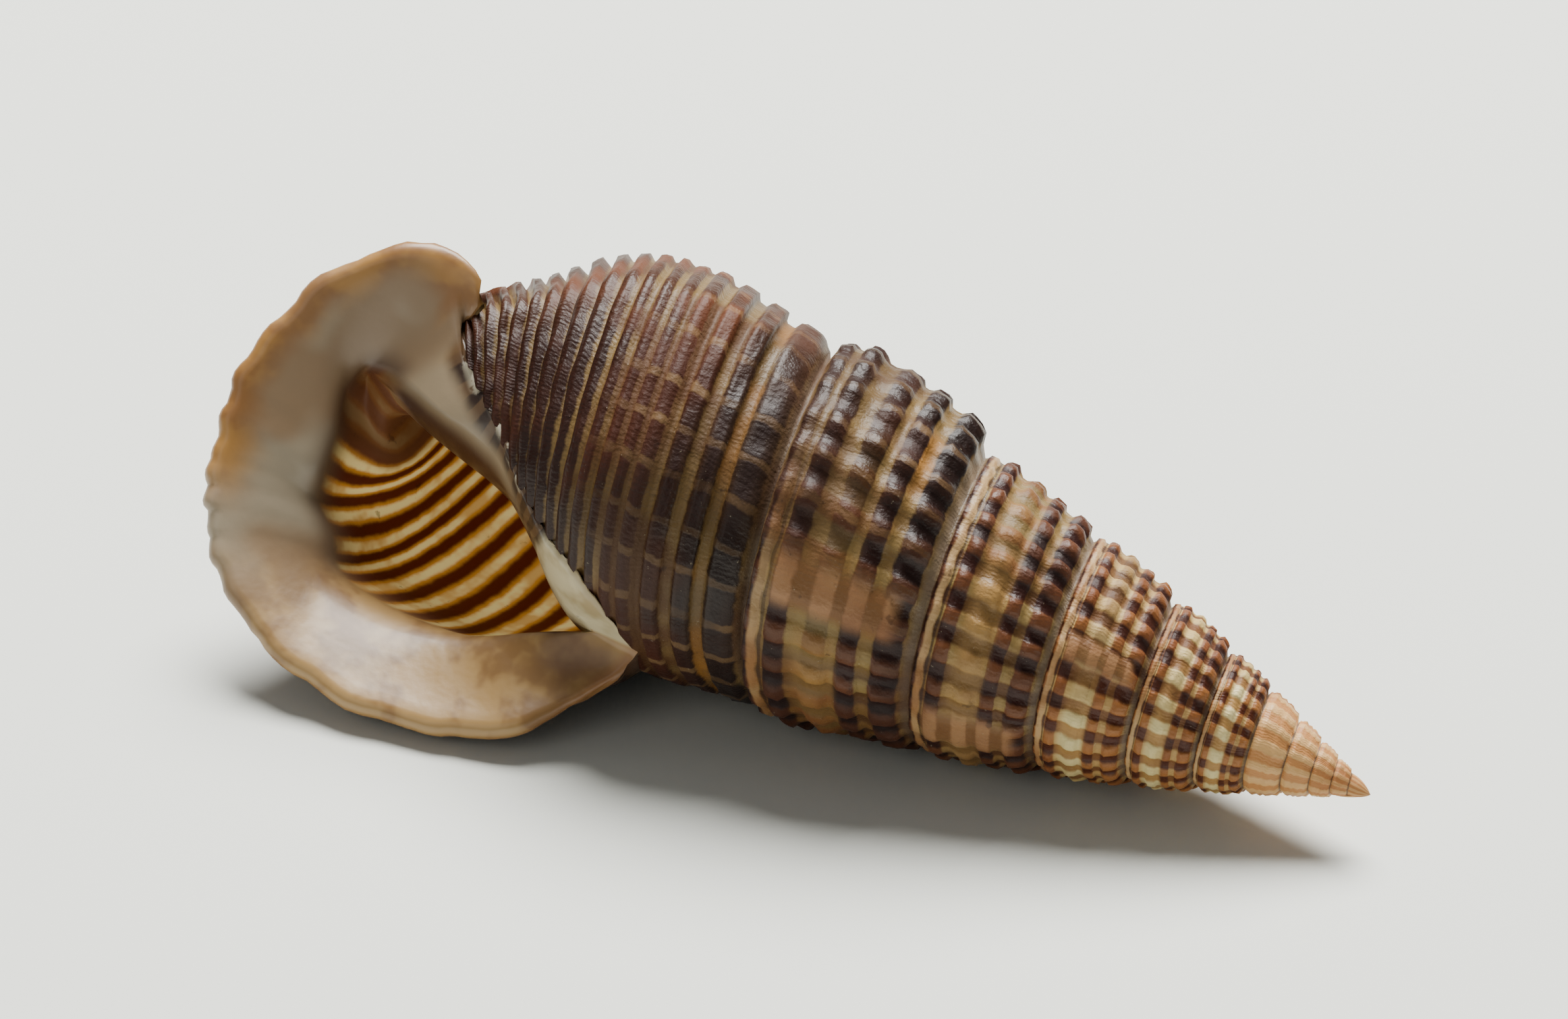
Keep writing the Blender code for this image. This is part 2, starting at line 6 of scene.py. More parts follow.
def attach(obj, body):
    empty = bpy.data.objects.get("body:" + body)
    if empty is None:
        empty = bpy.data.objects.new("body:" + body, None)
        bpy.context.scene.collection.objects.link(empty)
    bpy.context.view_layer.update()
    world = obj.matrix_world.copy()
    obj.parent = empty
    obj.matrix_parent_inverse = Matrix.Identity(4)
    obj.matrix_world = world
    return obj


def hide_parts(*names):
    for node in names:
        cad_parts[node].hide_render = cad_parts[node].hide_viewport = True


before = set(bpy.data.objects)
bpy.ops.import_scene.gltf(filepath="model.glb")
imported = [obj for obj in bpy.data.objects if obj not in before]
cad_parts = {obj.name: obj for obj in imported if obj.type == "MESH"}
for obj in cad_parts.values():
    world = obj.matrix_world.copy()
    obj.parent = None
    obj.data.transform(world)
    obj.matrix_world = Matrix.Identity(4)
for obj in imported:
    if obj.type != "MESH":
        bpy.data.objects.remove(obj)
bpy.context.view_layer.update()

# The coil. The whole shell is one tube wound to the right about a straight axis, each turn about
# 1.38 times the last. Lengths are in millimetres from the tip; phi is the angle of growth, 90 on
# the upper side of the last whorl; t runs down a whorl's side from the seam above it.
growth_a_turn = 0.3208
last_seam = 28.634
seam_climb = (5.46, -6.27, 1.65)
whorl_lean = -0.05
turns_to_lip = 10
last_side = np.array([
    (0.00, 28.63, 7.52), (0.035, 28.88, 7.92), (0.10, 29.60, 8.10), (0.20, 30.79, 8.30), (0.42, 33.13, 8.80),
    (0.62, 35.38, 8.92), (0.78, 37.22, 8.58), (0.92, 38.87, 7.72), (1.05, 40.46, 6.32), (1.28, 42.90, 4.42),
    (1.43, 44.39, 3.50), (1.60, 45.80, 2.71), (1.90, 48.02, 1.49)])
rad = np.radians


def smooth(x, a=0.0, b=1.0):
    x = np.clip((np.asarray(x, float) - a) / (b - a), 0, 1)
    return x * x * (3 - 2 * x)


def unit(v):
    return v / (np.linalg.norm(v, axis=-1, keepdims=True) + 1e-12)


class Curve:
    """A smooth line through measured knots."""

    def __init__(self, x, y):
        self.x, self.y = np.asarray(x, float), np.asarray(y, float)
        self.flat = self.y.ndim == 1
        if self.flat:
            self.y = self.y[:, None]
        h = np.diff(self.x)[:, None]
        d = np.diff(self.y, axis=0) / h
        m = np.empty_like(self.y)
        m[1:-1] = (d[:-1] * h[1:] + d[1:] * h[:-1]) / (h[:-1] + h[1:])
        m[0], m[-1] = 2 * d[0] - m[1], 2 * d[-1] - m[-2]
        self.m = m

    def __call__(self, q):
        q = np.asarray(q, float)
        shape, q = q.shape, q.ravel()
        i = np.clip(np.searchsorted(self.x, q, side="right") - 1, 0, len(self.x) - 2)
        h = self.x[i + 1] - self.x[i]
        f, h = np.clip((q - self.x[i]) / h, 0, 1)[:, None], h[:, None]
        out = ((1 + 2 * f) * (1 - f) ** 2 * self.y[i] + f * (1 - f) ** 2 * h * self.m[i]
               + f * f * (3 - 2 * f) * self.y[i + 1] + f * f * (f - 1) * h * self.m[i + 1])
        return out[:, 0].reshape(shape) if self.flat else out.reshape(shape + (self.y.shape[1],))


last_outline = Curve(last_side[:, 0], last_side[:, 1:])
side_bulge = Curve([-4200, -560, -450, -360, -270, -90], [.05, .05, .03, .08, .135, .15])


def seam_in_growth(phi):
    m = np.maximum(11 + (np.asarray(phi, float) - 90) / 360, 0)
    return last_seam * np.exp(-growth_a_turn * (11 - m)) * (1 - np.exp(-m / 1.5))


def seam(phi):
    x = np.clip((np.asarray(phi, float) - 90) / 214, 0, 1.2)
    a, b, c = seam_climb
    return np.where(np.asarray(phi) > 90, last_seam + a * x + b * x ** 2 + c * x ** 3, seam_in_growth(phi))


def spire_radius(u):
    return u * (0.385 - 0.110 * u / last_seam) + 0.132 * (1 - np.exp(-u / 0.26)) * np.exp(-u / 2.0)


def late_growth(phi, t):
    x = np.asarray(phi, float) - 90
    s = 1 - smooth(t, 0.75, 1.5)
    held = s * x + (1 - s) * 32 * (1 - np.exp(-np.maximum(x, 0) / 32))
    return np.exp(growth_a_turn * np.where(x > 0, held, x) / 360)


def front_flat(phi, t):
    """How far the front of a whorl is flattened beside its blunt ridge."""
    return 0.33 * (np.exp(-((phi - 20.0) / 22.0) ** 2) * smooth(t, 0.1, 0.5) * (1 - smooth(t, 1.2, 1.5)))


def front_ridge(phi, t):
    return 0.36 * (np.exp(-((phi - 57.0) / 10.0) ** 2) * smooth(t, 0.03, 0.25) * (1 - smooth(t, 1.25, 1.45)))


def whorl(phi, t):
    """u and R of the side; late in growth the seam lies on the skin of the turn before."""
    phi, t = np.broadcast_arrays(np.asarray(phi, float), np.asarray(t, float))
    u0, u1 = seam_in_growth(phi), seam_in_growth(phi + 360)
    h = u1 - u0
    side = (1 - np.abs(2 * np.clip(t, 0, 1) - 1) ** 3.2) ** 0.62
    us = u0 + h * t
    Rs = spire_radius(u0) * (1 - t) + spire_radius(u1) * t + side_bulge(np.clip(phi, -4200, -90)) * h * side
    p = last_outline(t) * late_growth(phi, t)[..., None]
    grown = last_seam * np.exp(growth_a_turn * (phi - 90) / 360)
    ul = p[..., 0] + np.where(phi > 90, seam(phi) - grown, 0) * (1 - smooth(t, 0.0, 0.8))
    w = smooth(phi, -280, -100)
    u, R = us + (ul - us) * w, Rs + (p[..., 1] - Rs) * w
    late = smooth(phi, 90, 200)
    if np.any(late > 0):
        start = last_outline(0 * t)[..., 1] * late_growth(phi, 0 * t)
        R = R + (skin_below(phi) + 0.03 - start) * late * (1 - smooth(t, 0, 0.42))
    return u, R + (front_ridge(phi, t) - front_flat(phi, t))


def cover_t(phi):
    """t on a whorl where the next turn's seam covers it."""
    phi = np.asarray(phi, float)
    want = seam(phi + 360)
    lo, hi = np.zeros_like(phi), np.full_like(phi, 1.3)
    for _ in range(30):
        mid = (lo + hi) / 2
        up = whorl(phi, mid)[0] < want
        lo, hi = np.where(up, mid, lo), np.where(up, hi, mid)
    return np.where(phi < -460, 1.0, (lo + hi) / 2)


late_phi = np.linspace(88, 312, 57)
skin_below = Curve(late_phi, whorl(late_phi - 360, cover_t(late_phi - 360))[1])


def place(u, R, phi):
    front, up = R * np.cos(rad(phi)), R * np.sin(rad(phi))
    return np.stack([u + whorl_lean * up, front, up], -1)


def skin(phi, t):
    u, R = whorl(phi, t)
    return place(u, R, np.broadcast_to(phi, u.shape))


def skin_normal(phi, t):
    t = np.asarray(t, float)
    return unit(np.cross(skin(phi + .6, t) - skin(phi - .6, t),
                         skin(phi, t + .004) - skin(phi, np.maximum(t - .004, 0))))


# Cords, ribs and old lips. The snail's mantle laid down raised cords round the coil, and ribs, 14 a
# turn at the tip and 26 lately, that cut them into square beads; five old lips are left as low
# smooth pads. A cord's number c counts down from the seam; its middle is at c = 0.5, 1.5 and so on.
lip_corner = (-64.0, 0.48)       # phi and t where the lip begins on the last whorl
neck_corner = (52.0, 1.48)       # and where it closes over the canal
old_lips = [(-372, 13), (-773, 15), (-1073, 10), (-560, 10), (-930, 11)]      # phi and half width
cord_place_last = Curve([0, .5, 1.5, 2.5, 3.5, 4.5, 6.5, 9.5, 12.5, 15.5, 18, 20.5],
                        [0, .12, .27, .41, .53, .61, .76, .965, 1.15, 1.33, 1.46, 1.60])
cord_place_spire = Curve([0, .5, 1.5, 2.5, 3.5, 4.5, 5.0, 20], [0, .14, .36, .54, .79, .93, 1.0, 3.6])
cord_stands = Curve([0, .5, 1.5, 2.5, 3.5, 4.5, 5.5, 30], [.9, 1.0, .95, .8, 1.05, .65, 1, 1])
many_cords = np.linspace(0, 20.5, 800)
lip_cord, neck_cord = (float(np.interp(t, cord_place_last(many_cords), many_cords))
                       for t in (lip_corner[1], neck_corner[1]))


def row_t(c, phi):
    w = smooth(phi, -290, -90)
    a, b = cord_place_spire(np.minimum(c, 19.9)), cord_place_last(np.minimum(c, 20.5))
    return a + (b - a) * w


def wander(x, seed):
    """Slow uneven drift between -1 and 1, as growth is never quite even."""
    return (np.sin(x * 1.13 + seed) + np.sin(x * 2.71 + 2.3 * seed) + np.sin(x * 0.47 + 4.1 * seed)) / 3


ribs_a_turn = Curve([-4300, -2200, -1800, -1450, -1000, -500, 700], [14, 15, 17.5, 20, 24, 26, 26])
rib_steps = np.linspace(-4300, 700, 5001)
ribs_so_far = np.cumsum(ribs_a_turn(rib_steps)) / 360
ribs_so_far = ribs_so_far - np.interp(lip_corner[0], rib_steps, ribs_so_far)


def rib_phase(phi, c):
    p = np.interp(phi, rib_steps, ribs_so_far)
    return p + 0.16 * wander(p * 0.9, 1.7) + 0.05 * wander(p * 0.6 + c * 1.7, 5.2)


def on_old_lip(phi, c):
    pad = np.zeros(np.broadcast(phi, c).shape)
    for p, w in old_lips:
        away = 1 - np.abs(phi + 1.5 * wander(c * 2.0, p) - p) / w
        pad = np.maximum(pad, smooth(1.3 * away) * smooth(c, .15, .7) * (1 - smooth(c, 3.8, 4.5)))
    return pad


def relief(phi, c):
    phi, c = np.broadcast_arrays(np.asarray(phi, float), np.asarray(c, float))
    ua, ub = whorl(phi, row_t(np.maximum(c - .5, 0), phi))[0], whorl(phi, row_t(c + .5, phi))[0]
    pitch = np.clip(np.abs(ub - ua), 0.066, 1.52)
    pitch = np.where(c > 6, np.maximum(pitch, 0.66), pitch)
    phase = rib_phase(phi, c)
    cord = smooth(0.5 - 0.5 * np.cos(2 * np.pi * (c + 0.04 * wander(phase, 3.1))), 0.15, 0.62)
    rib = smooth(0.5 + 0.5 * np.cos(2 * np.pi * phase), 0.20, 0.75)
    bead = (1 - 0.86 * smooth(phi, -330, -60)) * (1 - smooth(c, 5.5, 9))
    uneven = 1 + 0.22 * wander(phase * 1.9 + c * 3.0, 2.2) + 0.12 * wander(c * 2.6, 0.4)
    worn_cord = cord * (1 - 0.55 * bead + 0.75 * bead * rib) + 0.30 * bead * rib * (1 - cord)
    h = 0.28 * pitch * cord_stands(np.clip(c, 0, 30)) * uneven * (worn_cord - 0.36)
    pad = on_old_lip(phi, c)
    h = h + (0.17 * pitch + 0.22 * h - h) * pad
    return h * smooth(c, 0.0, 0.3)


# The shell's skin is gathered here as one closed surface: its points, and for every corner of a
# face the cord, rib, growth angle, way into the mouth, cover of callus and stripe of the lining.
class Skin:
    def __init__(self):
        self.points, self.faces, self.marks, self.inside, self.count = [], [], [], [], 0

    def add(self, P):
        P = np.atleast_2d(P)
        ids = list(range(self.count, self.count + len(P)))
        self.points.append(P)
        self.count += len(P)
        return ids

    def face(self, ids, marks, inside=0):
        ring, kept = [], []
        for i, m in zip(ids, marks):
            if not ring or ring[-1] != i:
                ring.append(i)
                kept.append(m)
        if ring[0] == ring[-1]:
            ring.pop()
            kept.pop()
        if len(ring) >= 3:
            self.faces.append(ring)
            self.marks.append(kept)
            self.inside.append(inside)


shell_skin = Skin()

# The spire. Nine and a half turns of the tube, grown column by column from the tip; each column
# runs from its own seam down to the seam a turn later, so the turns share their edges.
columns_a_turn = 208
fine_turns = 5
side_rows = 36
tip_rows = 12
tip_end = np.array([0.066, 0, 0])
column_step = 360.0 / columns_a_turn
corner_key = turns_to_lip * columns_a_turn


def phi_of(key):
    return lip_corner[0] + (np.asarray(key) - corner_key) * column_step


first_fine = corner_key - fine_turns * columns_a_turn
keys = list(range(0, first_fine, 2)) + list(range(first_fine, corner_key + 1))
tip_point = shell_skin.add(tip_end)[0]
seam_keys = sorted(set([k for k in keys if k >= columns_a_turn and k != corner_key]
                       + list(range(corner_key, corner_key + columns_a_turn + 1))))
seam_point = dict(zip(seam_keys, shell_skin.add(skin(phi_of(seam_keys), np.zeros(len(seam_keys))))))
for k in keys:
    if k < columns_a_turn:
        seam_point[k] = tip_point
covered = cover_t(phi_of(np.array(keys)))
column = {}
column_marks = {}
for k, covered_t in zip(keys, covered):
    p0 = float(phi_of(k))
    share = np.linspace(0, 1, (side_rows if k >= first_fine else tip_rows) + 1)[1:-1]
    if k == 0:
        column[k] = [tip_point, seam_point[columns_a_turn]]
        column_marks[k] = [(0, 0, p0, 0, 0, 0), (5, 0, p0, 0, 0, 0)]
        continue
    top = 5.0 if p0 < -460 else float(np.interp(covered_t, row_t(many_cords[:320], p0), many_cords[:320]))
    c = top * share
    p = p0 + 0 * c
    if k < columns_a_turn:
        end = skin(np.array([p0 + 360]), np.array([0.0]))[0]
        side = np.array([-0.6, np.cos(rad(p0)), np.sin(rad(p0))])
        P = tip_end + (end - tip_end) * share[:, None] + side * (0.4 * share * (1 - share))[:, None]
    else:
        P = skin(p, row_t(c, p)) + skin_normal(p, row_t(c, p)) * relief(p, c)[:, None]
    column[k] = [seam_point[k]] + shell_skin.add(P) + [seam_point[k + columns_a_turn]]
    cords = np.r_[0, c, top]
    column_marks[k] = [(a, b, p0, 0, 0, 0) for a, b in zip(cords, rib_phase(p0, cords))]
for ka, kb in zip(keys[:-1], keys[1:]):
    A, B, mA, mB = column[ka], column[kb], column_marks[ka], column_marks[kb]
    q = (len(B) - 1) // (len(A) - 1)
    for j in range(len(A) - 1):
        ring = [A[j]] + [B[j * q + x] for x in range(q + 1)]
        marks = [mA[j]] + [mB[j * q + x] for x in range(q + 1)]
        if j == len(A) - 2:
            between = [k for k in range(kb + columns_a_turn - 1, ka + columns_a_turn, -1) if k in seam_point]
            ring += [seam_point[k] for k in between]
            marks += [mA[j + 1]] * len(between)
        shell_skin.face(ring + [A[j + 1]], marks + [mA[j + 1]])

# The last whorl and the back of the lip. The grown snail turns the tube outwards: from halfway
# round, every cord leaves the coil and sweeps to the edge of a wide flared lip that also bridges
# the canal at the neck.
base_rows = 84
flare_phi = 200.0                # growth angle at which the cords begin to leave the coil
edge_points = np.array([      # along the axis, towards the front, up
    (29.68, 4.26, -7.45), (30.00, 4.09, -8.36), (30.90, 3.96, -9.61), (32.09, 3.89, -11.17),
    (33.98, 3.89, -12.62), (36.19, 3.89, -13.50), (38.27, 3.86, -13.89), (40.43, 3.83, -14.13),
    (42.43, 3.80, -13.93), (44.58, 3.76, -13.43), (46.11, 3.73, -12.65), (47.55, 3.70, -11.64),
    (48.74, 3.66, -10.52), (49.56, 3.63, -9.05), (50.34, 3.56, -7.20), (50.69, 3.50, -5.51),
    (50.94, 3.40, -3.41), (50.55, 3.30, -1.04), (49.74, 3.17, 1.23), (48.64, 3.07, 2.92),
    (47.35, 3.00, 4.13), (46.02, 2.97, 5.09), (45.16, 2.97, 5.38), (44.18, 3.00, 5.25),
    (43.42, 3.07, 5.05), (42.81, 3.10, 4.72), (42.47, 3.07, 4.21), (42.46, 2.90, 3.59),
    (42.69, 2.57, 3.06), (43.10, 2.05, 2.63)])
edge_length = np.r_[0, np.cumsum(np.linalg.norm(np.diff(edge_points, axis=0), axis=1))]
lip_edge = Curve(edge_length / edge_length[-1], edge_points)
edge_of_cord = Curve([0, 3.5, 16.0, 18.36], [0, .29, .80, 1.0])
lip_tilt = Curve([0, 1.5, 4, 9, 13, 15.5, 18], [25, 32, 35, 38, 32, 20, 10])
lip_thick = 1.05
callus_edge = [(-64, .48), (-47, .66), (-37.5, .80), (-34.5, .95), (-26, 1.14), (-12, 1.25),
               (1, 1.35), (15, 1.42), (33, 1.46), (52, 1.48)]      # phi and t
callus_edge_phi = Curve([p[1] for p in callus_edge], [p[0] for p in callus_edge])


def lip(c):
    """Edge point, the way the lip runs out, the way its face looks, and its thickness."""
    f = edge_of_cord(np.asarray(c, float))
    E = lip_edge(f)
    T = unit(lip_edge(np.minimum(f + .004, 1)) - lip_edge(np.maximum(f - .004, 0)))
    out = np.stack([-T[..., 2], 0 * f, T[..., 0]], -1)
    out = unit(out * np.sign(np.sum(out * (E - edge_points.mean(0)), -1, keepdims=True)))
    psi, front = rad(lip_tilt(c))[..., None], np.array([0, 1.0, 0])
    F, N = np.cos(psi) * out + np.sin(psi) * front, np.cos(psi) * front - np.sin(psi) * out
    return E, F, N, lip_thick * (0.25 + 0.75 * smooth(c, 0, 1.6) * smooth(neck_cord - c, 0, 1.6))


def bend(P0, P1, P2, P3, f):
    return (1 - f) ** 3 * P0 + 3 * f * (1 - f) ** 2 * P1 + 3 * f * f * (1 - f) * P2 + f ** 3 * P3


rows = side_rows + base_rows
spread = np.arange(1, base_rows + 1) / base_rows
row_cord = np.r_[lip_cord * np.linspace(0, 1, side_rows + 1),
                 lip_cord + (neck_cord - lip_cord) * (1 - (1 - spread) ** 1.2)]
on_coil_columns = int(round((flare_phi - lip_corner[0]) / 360 * columns_a_turn))
neck_point = skin(np.array([neck_corner[0]]), np.array([neck_corner[1]]))[0]
neck_id = shell_skin.add(neck_point[None])[0]
low_down = smooth(row_t(row_cord, flare_phi), 0.75, neck_corner[1])
leave = flare_phi - (flare_phi - neck_corner[0] - 8) * low_down ** 0.9
leave = leave - leave[0] + phi_of(corner_key + on_coil_columns)
start = np.where(row_cord <= lip_cord + 1e-6, lip_corner[0], callus_edge_phi(row_t(row_cord, 0.0)))
ragged = smooth(row_cord, lip_cord, lip_cord + 1) * (1 - smooth(row_cord, neck_cord - 1, neck_cord))
start = start + ragged * (0.7 * wander(row_cord * 9.0, 0.9) + 0.9 * np.abs(wander(row_cord * 17.0, 2.6)))
below = np.arange(side_rows + 1, rows)
below_t = row_t(row_cord[below], 0.0)
P = skin(start[below], below_t)
P = P + skin_normal(start[below], below_t) * (relief(start[below], row_cord[below]) * 0.6)[:, None]
last_ids = [list(column[corner_key]) + shell_skin.add(P) + [neck_id]]
last_phi = [start]
c = row_cord[:rows]
E, F, N, thick = lip(row_cord)
corner_end = skin(np.array([lip_corner[0] + 360.0]), np.array([0.0]))[0]
back = E - F * (thick / 2)[:, None] - N * (thick / 2)[:, None]
meet = ((corner_end - back[0]) * (1 - smooth(row_cord, 0, 1.5))[:, None]
        + (neck_point - back[rows]) * smooth(row_cord, neck_cord - 1.2, neck_cord)[:, None])
bumpy = (0.13 * wander(row_cord * 1.5, 3.3) + 0.08 * wander(row_cord * 4.6, 1.2)) * smooth(row_cord, 0.4, 2.0)
bumpy = (bumpy * smooth(neck_cord - row_cord, 0.3, 2.0))[:, None]
E, back = E + meet + F * bumpy, (back + meet + F * bumpy)[:rows]
tt = row_t(c, flare_phi)
P0 = skin(leave[:rows], tt)
G = unit(skin(leave[:rows] + 1, tt) - skin(leave[:rows] - 1, tt))
far = np.linalg.norm(back - P0, axis=1)[:, None]
along = unit(corner_end - skin(np.array([lip_corner[0] + 357.0]), np.array([0.0])))
wide = smooth(c, 0, 1.6)[:, None]
P1 = P0 + G * far * (0.38 - 0.30 * smooth(c, 8, neck_cord))[:, None]
P2 = back - unit(along * (1 - wide) + F[:rows] * wide) * far * (0.30 + 0.05 * smooth(c, 3, 8))[:, None]
sides, heights, normals = [], [], []
for i in range(1, columns_a_turn + 1):
    if i <= on_coil_columns:
        p = start[:rows] + (leave[:rows] - start[:rows]) * i / on_coil_columns
        sides.append(skin(p, row_t(c, p)))
        normals.append(skin_normal(p, row_t(c, p)))
        heights.append(relief(p, c))
    else:
        f = (i - on_coil_columns) / (columns_a_turn - on_coil_columns)
        p = leave[:rows] + (phi_of(corner_key + columns_a_turn) - leave[0]) * f
        away = smooth(c, 0.0, 1.3)
        away = (away + (1 - away) * f ** 2)[:, None]
        on_coil = skin(p, tt)
        sides.append(on_coil + (bend(P0, P1, P2, back, f) - on_coil) * away)
        heights.append(relief(np.full(rows, 205.0), c) * (1 - 0.25 * f) + 0.02 * wander(p * 0.5 + c, 1.1))
    last_phi.append(np.r_[p, p[-1]])
sheet = np.concatenate([np.stack(sides), np.repeat(neck_point[None, None], columns_a_turn, 0)], 1)
sheet_normal = unit(np.cross(np.gradient(sheet, axis=0), np.gradient(sheet, axis=1)))[:, :-1]
agree = np.sum(sheet_normal[:on_coil_columns, 3:rows - 4] * np.stack(normals)[:, 3:rows - 4], -1)
sheet_normal = sheet_normal * np.sign(np.median(agree))
fade = smooth(neck_cord - c, 0, 1.2) * smooth(c, 0, .4)
for i in range(1, columns_a_turn + 1):
    normal = normals[i - 1] if i <= on_coil_columns else sheet_normal[i - 1]
    X = sides[i - 1] + normal * (heights[i - 1] * fade)[:, None]
    last_ids.append([seam_point[corner_key + i]] + shell_skin.add(X[1:]) + [neck_id])
last_marks = [[(a, b, q, 0, 0, 0) for a, b, q in zip(row_cord, rib_phase(p, row_cord), p)] for p in last_phi]
for A, B, mA, mB in zip(last_ids[:-1], last_ids[1:], last_marks[:-1], last_marks[1:]):
    for j in range(rows):
        shell_skin.face([A[j], B[j], B[j + 1], A[j + 1]], [mA[j], mB[j], mB[j + 1], mA[j + 1]])

# The lip's face, the callus and the tube. Inside its thick rounded edge the lip is glazed smooth
# and dished; a strip of callus is laid on the turn before it; the tube runs on out of sight and
# ends blind. Points go in rings from the edge inwards.
rim_rings, face_rings, tube_rings = 7, 14, 30
wall, callus_thick = 0.79, 0.26
throat_depth = 215.0             # degrees of growth that the open tube runs back
tube_narrowing = 0.15            # share by which its deep end is drawn in, clear of the outside
smoothing_steps = 90             # passes that ease the lip's face into the callus at the neck
back_corner = (32.03, 3.30, -7.00)
throat_phi = Curve([0, 1.6, 5.8, 11, 14.5, 18.36], [291, 278, 270, 276, 300, 350])
mouth_top = Curve([8, 9.5, 11, 12.5, 13.8, 15.2, 16.3, 17.3, 18.36],
                  [(44.6, 0.15, -8.40), (45.6, 0.35, -7.65), (46.1, 0.80, -6.75), (46.18, 1.25, -5.70),
                   (46.37, 1.19, -4.12), (46.86, 1.19, -2.23), (46.75, 1.25, -1.35),
                   (46.36, 1.39, -0.61), (45.44, 1.52, -0.09)])


def turn_before(phi, w):
    """Skin of the turn before, under the mouth, from the seam (0) to the neck (1)."""
    phi, w = np.broadcast_arrays(np.asarray(phi, float), np.asarray(w, float))
    g = np.exp(growth_a_turn * (phi - 90) / 360)
    t0 = np.interp(seam(phi + 360) / g, last_side[:, 1], last_side[:, 0])
    t = t0 + (neck_corner[1] - t0) * w
    p = last_outline(t) * g[..., None]
    R = p[..., 1] + (whorl(phi + 360, 0 * phi)[1] - last_outline(t0)[..., 1] * g) * (1 - smooth(w, 0, 0.5))
    return place(p[..., 0], R - front_flat(phi, t), phi)


def turn_before_normal(phi, w):
    return unit(np.cross(turn_before(phi + .6, w) - turn_before(phi - .6, w),
                         turn_before(phi, w + .01) - turn_before(phi, np.maximum(w - .01, 0))))


def throat(phi, t):
    return skin(phi, t) - skin_normal(phi, t) * wall


c = row_cord
edge_lift = np.r_[heights[-1], 0.0] * 0.36 * smooth(c, 0, .4)
E = E + F * edge_lift[:, None]
middle, half = E - F * (thick / 2)[:, None], (thick / 2)[:, None]
outer = [middle + half * (F * np.sin(rad(a)) - N * np.cos(rad(a)))
         for a in np.linspace(0, 180, rim_rings + 2)[1:]]
face = outer[-1]
t = 0.14 + row_t(c, 250.0) * 0.89
t = np.where(t > 1.12, 1.12 + (t - 1.12) * 0.9, t)
phi = throat_phi(c)
mouth = throat(phi, t)
shift = (mouth_top(c) - mouth) * smooth(c, 8.0, 11.0)[:, None]
far = np.linalg.norm(mouth + shift - face, axis=1)[:, None]
inward = unit(mouth - throat(phi - 2, t))
turn = smooth(c, neck_cord - 4.5, neck_cord - 0.5)[:, None]
down = unit(F * (1 - turn) + unit(face - mouth - shift) * turn)
for f in np.linspace(0, 1, face_rings + 2)[1:]:
    outer.append(bend(face, face - down * far * 0.42, mouth + shift + inward * far * 0.30 * (1 - 0.7 * turn),
                      mouth + shift, f))
depth = np.linspace(0, 1, tube_rings + 1)[1:] ** 1.15 * throat_depth
for d in depth:
    td = t + 0.18 * smooth(c, 13, neck_cord) * smooth(d, 0, 30)
    td = td - 0.05 * (1 - smooth(c, 0, 3)) * smooth(d, 10, 90)
    outer.append(throat(phi - d, td) + shift * (1 - smooth(d, 0, 70)))
outer = np.stack(outer)
cp, start_p = row_cord[side_rows:], np.r_[start[:rows], neck_corner[0]][side_rows:]
w = (row_t(cp, 0.0) - lip_corner[1]) / (neck_corner[1] - lip_corner[1])
inner = []
for d in np.r_[np.linspace(0, 4, rim_rings + 2)[1:], np.linspace(4, 16, face_rings + 2)[1:], 16 + depth]:
    wd = w + 0.19 * (1 - w) ** 2 * smooth(d, 0, 14) * (1 - 0.65 * smooth(d, 20, 90))
    wd = wd + 0.3 * w ** 6 * smooth(d, 0, 30)
    pd = start_p - d * (1 - 0.75 * (1 - smooth(w, 0, .25)) * (1 - smooth(d, 8, 50)))
    inner.append(turn_before(pd, wd) + turn_before_normal(pd, wd) * callus_thick * smooth(d, -1.5, 3.0))
inner = np.stack(inner)
shallow = rim_rings + face_rings + 2
f = np.r_[np.linspace(0, .12, rim_rings + 2)[1:], np.linspace(.12, 1, face_rings + 2)[1:]][:, None]
keep = (1 - smooth(depth, 0, 60))[:, None]
points = np.concatenate(shell_skin.points)
corner_row = 0.5 * (outer[:, 0] + inner[:, 0])
corner_row[shallow:] += (np.array(back_corner) - corner_row[shallow - 1]) * keep
corner_row[:shallow] = points[last_ids[-1][0]] * (1 - f) + np.array(back_corner) * f
neck_row = 0.5 * (outer[:, -1] + inner[:, -1])
top = mouth_top(neck_cord)
neck_row[shallow:] += (top - neck_row[shallow - 1]) * keep
neck_row[:shallow] = neck_point * (1 - f) + top * f
outer = outer + (corner_row - outer[:, 0])[:, None] * (1 - smooth(c, 0, 2.2))[None, :, None]
near_neck = smooth(c, neck_cord - 3.0, neck_cord)[None, :, None]
outer = (outer + (neck_row - outer[:, -1])[:, None] * near_neck)[:, :-1]
near_corner = (1 - smooth(cp, lip_cord, lip_cord + 3.5))[None, :, None]
inner = inner + (corner_row - inner[:, 0])[:, None] * near_corner
web = np.clip(1 - (neck_cord - cp) / 4.5, 0, 1) ** 1.4
inner = inner + (neck_row - inner[:, -1])[:, None] * web[None, :, None]
rings = np.concatenate([outer, inner[:, 1:][:, ::-1]], 1)
around = rings.shape[1]
narrow = np.r_[np.zeros(shallow), smooth(depth, 85, 135)][:, None, None] * tube_narrowing
rings = rings + (rings.mean(1, keepdims=True) - rings) * narrow
ease = np.exp(-((np.arange(around) - rows + 0.5) / 9.0) ** 2)[None, :, None]
ring_number = np.arange(len(rings))[:, None, None]
ease = ease * 0.5 * smooth(ring_number, 3, 9) * (1 - smooth(ring_number, shallow, shallow + 8))
